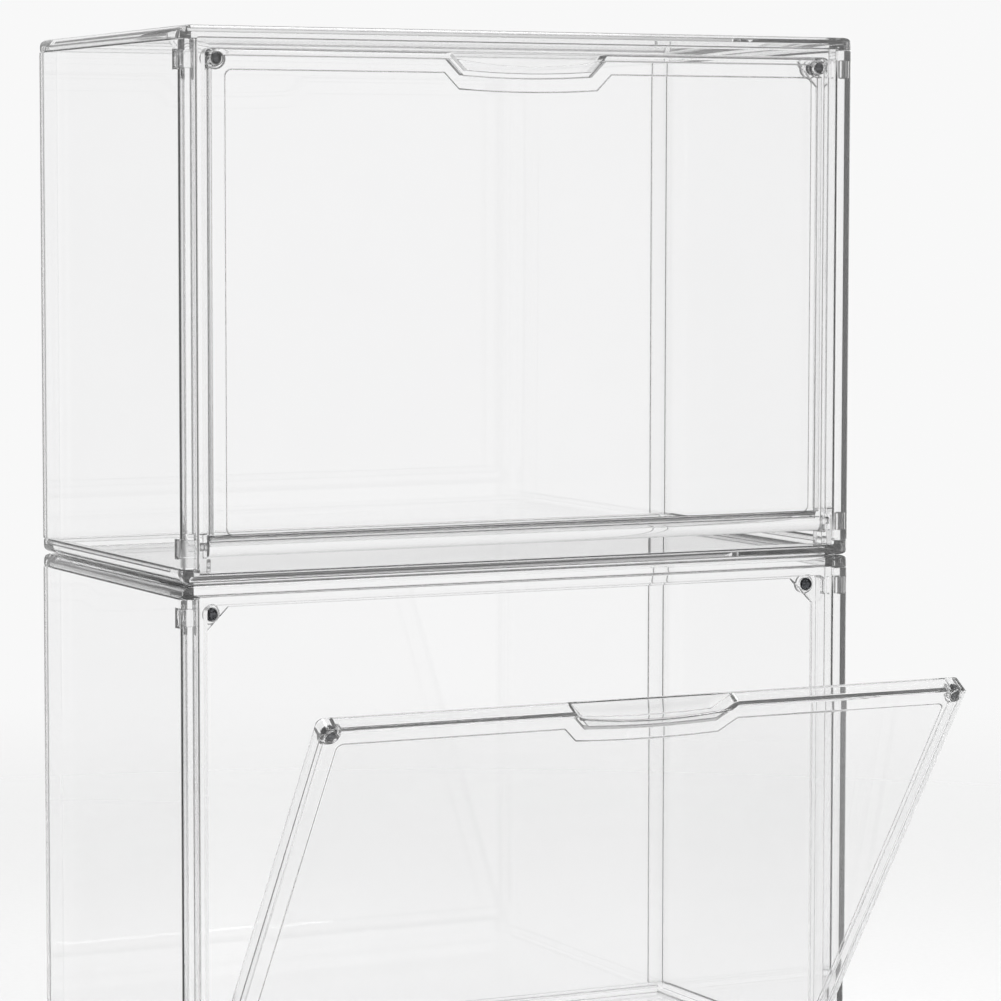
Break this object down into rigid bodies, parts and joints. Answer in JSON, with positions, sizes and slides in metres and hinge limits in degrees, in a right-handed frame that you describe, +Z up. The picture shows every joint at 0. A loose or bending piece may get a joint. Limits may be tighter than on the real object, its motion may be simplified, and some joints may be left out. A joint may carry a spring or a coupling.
{
  "type": "indoor greenhouse",
  "caption": "Stack of clear plastic display greenhouse cases, each with a drop-down front door on hinge pins, magnetic corner catches and a finger pocket.",
  "frame": {"origin": "centre of the lower case's flat underside, doors left out", "axes": "+X to the right seen from the front, +Y to the back, +Z up; the doors face -Y"},
  "size_m": [0.32, 0.2794, 0.4571],
  "materials": {
    "clear_plastic": "clear, polished",
    "magnet_steel": "dark nickel plate"
  },
  "bodies": {
    "case_stack": {"lower_base_panel": "clear_plastic", "lower_top_panel": "clear_plastic", "lower_left_panel": "clear_plastic", "lower_right_panel": "clear_plastic", "lower_back_panel": "clear_plastic", "lower_front_frame": "clear_plastic", "lower_frame_head": "clear_plastic", "lower_frame_magnet_left": "magnet_steel", "lower_frame_magnet_right": "magnet_steel", "upper_base_panel": "clear_plastic", "upper_top_panel": "clear_plastic", "upper_left_panel": "clear_plastic", "upper_right_panel": "clear_plastic", "upper_back_panel": "clear_plastic", "upper_front_frame": "clear_plastic", "upper_frame_head": "clear_plastic", "upper_frame_magnet_left": "magnet_steel", "upper_frame_magnet_right": "magnet_steel"},
    "lower_door_leaf": {"lower_door": "clear_plastic", "lower_door_pocket": "clear_plastic", "lower_door_magnet_left": "magnet_steel", "lower_door_magnet_right": "magnet_steel"},
    "upper_door_leaf": {"upper_door": "clear_plastic", "upper_door_pocket": "clear_plastic", "upper_door_magnet_left": "magnet_steel", "upper_door_magnet_right": "magnet_steel"}
  },
  "joints": [
    {"name": "lower_door_hinge", "type": "hinge", "parent": "case_stack", "child": "lower_door_leaf", "pos_m": [0, -0.0789, 0.0152], "axis": [1, 0, 0], "range_deg": [-34, 56]},
    {"name": "upper_door_hinge", "type": "hinge", "parent": "case_stack", "child": "upper_door_leaf", "pos_m": [0, -0.0789, 0.2438], "axis": [1, 0, 0], "range_deg": [0, 90]}
  ]
}
